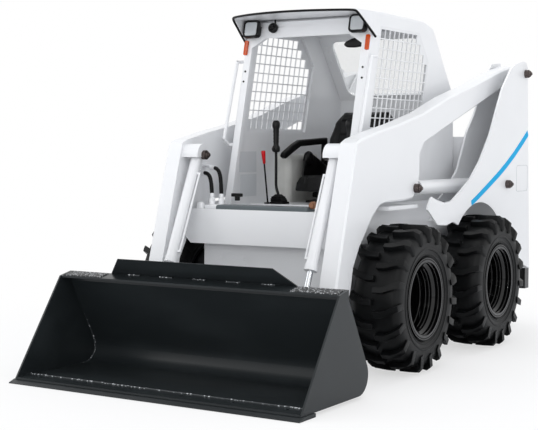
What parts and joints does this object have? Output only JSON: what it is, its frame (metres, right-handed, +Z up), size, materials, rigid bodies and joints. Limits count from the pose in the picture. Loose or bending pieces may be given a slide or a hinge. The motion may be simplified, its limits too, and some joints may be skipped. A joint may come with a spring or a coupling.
{
  "type": "skid steer loader",
  "caption": "Compact four-wheeled loader with a cab between two lift arms that carry a wide dirt bucket on a quick hitch.",
  "frame": {"origin": "on the floor under the middle of the overall length and width", "axes": "+X to the machine's left, -Y to its front where the bucket is, +Z up"},
  "size_m": [1.756, 3.476, 2],
  "materials": {
    "black_paint": "gloss",
    "black_plastic": "matte",
    "cast_block": "rough",
    "chrome_rod": "polished",
    "dark_paint": "satin",
    "grey_paint": "satin",
    "lamp_lens": "gloss",
    "pod_plastic": "matte",
    "red_lens": "gloss",
    "seat_vinyl": "satin",
    "tyre_rubber": "matte",
    "white_paint": "gloss",
    "window_glass": "clear",
    "wire_mesh": "gloss"
  },
  "bodies": {
    "chassis": {"main_frame": "white_paint", "axles": "black_paint", "engine_block": "cast_block", "side_frame_inner_l": "white_paint", "side_frame_inner_r": "white_paint", "side_frame_outer_l": "white_paint", "side_frame_outer_r": "white_paint", "tower_web_l": "white_paint", "tower_web_r": "white_paint", "rear_bumper": "black_paint", "bulkhead": "grey_paint", "cab_frame": "white_paint", "side_mesh_l": "wire_mesh", "side_mesh_r": "wire_mesh", "seat_deck": "white_paint", "seat_base": "black_plastic", "seat": "seat_vinyl", "control_lever_l": "black_plastic", "control_lever_r": "black_plastic", "cab_visor": "white_paint", "rear_window": "window_glass", "work_lamps": "black_plastic", "turn_lamps": "lamp_lens", "tail_lamps": "red_lens", "grab_handles": "white_paint", "arm_rests": "black_plastic", "side_consoles": "pod_plastic", "brake_lever": "black_plastic"},
    "hood": {"engine_hood": "white_paint"},
    "door": {"rear_door": "white_paint"},
    "lift_arms": {"lift_arm_l": "white_paint", "lift_arm_r": "white_paint", "arm_cross_member": "white_paint", "step_bar": "grey_paint", "tilt_brackets": "white_paint"},
    "bucket": {"hitch_frame": "dark_paint", "bucket_floor": "dark_paint", "bucket_heel": "dark_paint", "bucket_back": "dark_paint", "bucket_side_l": "dark_paint", "bucket_side_r": "dark_paint", "cutting_edge": "dark_paint", "spill_guard": "dark_paint"},
    "lift_barrel_l": {"lift_barrel_l": "white_paint"},
    "lift_rod_l": {"lift_rod_l": "chrome_rod"},
    "tilt_barrel_l": {"tilt_barrel_l": "white_paint"},
    "tilt_rod_l": {"tilt_rod_l": "chrome_rod"},
    "lift_barrel_r": {"lift_barrel_r": "white_paint"},
    "lift_rod_r": {"lift_rod_r": "chrome_rod"},
    "tilt_barrel_r": {"tilt_barrel_r": "white_paint"},
    "tilt_rod_r": {"tilt_rod_r": "chrome_rod"},
    "wheel_fl": {"tyre_fl": "tyre_rubber", "rim_fl": "black_paint"},
    "wheel_fr": {"tyre_fr": "tyre_rubber", "rim_fr": "black_paint"},
    "wheel_rl": {"tyre_rl": "tyre_rubber", "rim_rl": "black_paint"},
    "wheel_rr": {"tyre_rr": "tyre_rubber", "rim_rr": "black_paint"}
  },
  "joints": [
    {"name": "arm_lift", "type": "hinge", "parent": "chassis", "child": "lift_arms", "pos_m": [0, 1.513, 1.71], "axis": [-1, 0, 0], "range_deg": [0, 55]},
    {"name": "bucket_tilt", "type": "hinge", "parent": "lift_arms", "child": "bucket", "pos_m": [0, -0.932, 0.19], "axis": [1, 0, 0], "range_deg": [-27, 90]},
    {"name": "hood_hinge", "type": "hinge", "parent": "chassis", "child": "hood", "pos_m": [0, 1.012, 1.296], "axis": [1, 0, 0], "range_deg": [0, 60]},
    {"name": "door_hinge", "type": "hinge", "parent": "chassis", "child": "door", "pos_m": [0.482, 1.636, 0.8], "axis": [0, 0, -1], "range_deg": [0, 100]},
    {"name": "lift_swing_l", "type": "hinge", "parent": "chassis", "child": "lift_barrel_l", "pos_m": [0.562, 1.193, 0.984], "axis": [-1, 0, 0], "range_deg": [-1, 60]},
    {"name": "lift_stroke_l", "type": "slide", "parent": "lift_barrel_l", "child": "lift_rod_l", "axis": [0, -1, 0.005], "range_m": [-0.005, 0.76]},
    {"name": "tilt_swing_l", "type": "hinge", "parent": "lift_arms", "child": "tilt_barrel_l", "pos_m": [0.45, -0.64, 1.18], "axis": [1, 0, 0], "range_deg": [-3, 3]},
    {"name": "tilt_stroke_l", "type": "slide", "parent": "tilt_barrel_l", "child": "tilt_rod_l", "axis": [0, -0.4085, -0.9128], "range_m": [-0.07, 0.225]},
    {"name": "lift_swing_r", "type": "hinge", "parent": "chassis", "child": "lift_barrel_r", "pos_m": [-0.562, 1.193, 0.984], "axis": [-1, 0, 0], "range_deg": [-1, 60]},
    {"name": "lift_stroke_r", "type": "slide", "parent": "lift_barrel_r", "child": "lift_rod_r", "axis": [0, -1, 0.005], "range_m": [-0.005, 0.76]},
    {"name": "tilt_swing_r", "type": "hinge", "parent": "lift_arms", "child": "tilt_barrel_r", "pos_m": [-0.45, -0.64, 1.18], "axis": [1, 0, 0], "range_deg": [-3, 3]},
    {"name": "tilt_stroke_r", "type": "slide", "parent": "tilt_barrel_r", "child": "tilt_rod_r", "axis": [0, -0.4085, -0.9128], "range_m": [-0.07, 0.225]},
    {"name": "wheel_fl_spin", "type": "hinge", "parent": "chassis", "child": "wheel_fl", "pos_m": [0.706, -0.322, 0.404], "axis": [1, 0, 0], "continuous": true},
    {"name": "wheel_fr_spin", "type": "hinge", "parent": "chassis", "child": "wheel_fr", "pos_m": [-0.706, -0.322, 0.404], "axis": [1, 0, 0], "continuous": true},
    {"name": "wheel_rl_spin", "type": "hinge", "parent": "chassis", "child": "wheel_rl", "pos_m": [0.706, 0.738, 0.404], "axis": [1, 0, 0], "continuous": true},
    {"name": "wheel_rr_spin", "type": "hinge", "parent": "chassis", "child": "wheel_rr", "pos_m": [-0.706, 0.738, 0.404], "axis": [1, 0, 0], "continuous": true}
  ],
  "couplings": [
    {"joint": "lift_swing_l", "follows": "arm_lift", "ratio": 1},
    {"joint": "lift_stroke_l", "follows": "arm_lift", "m_per_rad": 0.77},
    {"joint": "tilt_swing_l", "follows": "bucket_tilt", "ratio": -0.02},
    {"joint": "tilt_stroke_l", "follows": "bucket_tilt", "m_per_rad": 0.14},
    {"joint": "lift_swing_r", "follows": "arm_lift", "ratio": 1},
    {"joint": "lift_stroke_r", "follows": "arm_lift", "m_per_rad": 0.77},
    {"joint": "tilt_swing_r", "follows": "bucket_tilt", "ratio": -0.02},
    {"joint": "tilt_stroke_r", "follows": "bucket_tilt", "m_per_rad": 0.14}
  ]
}
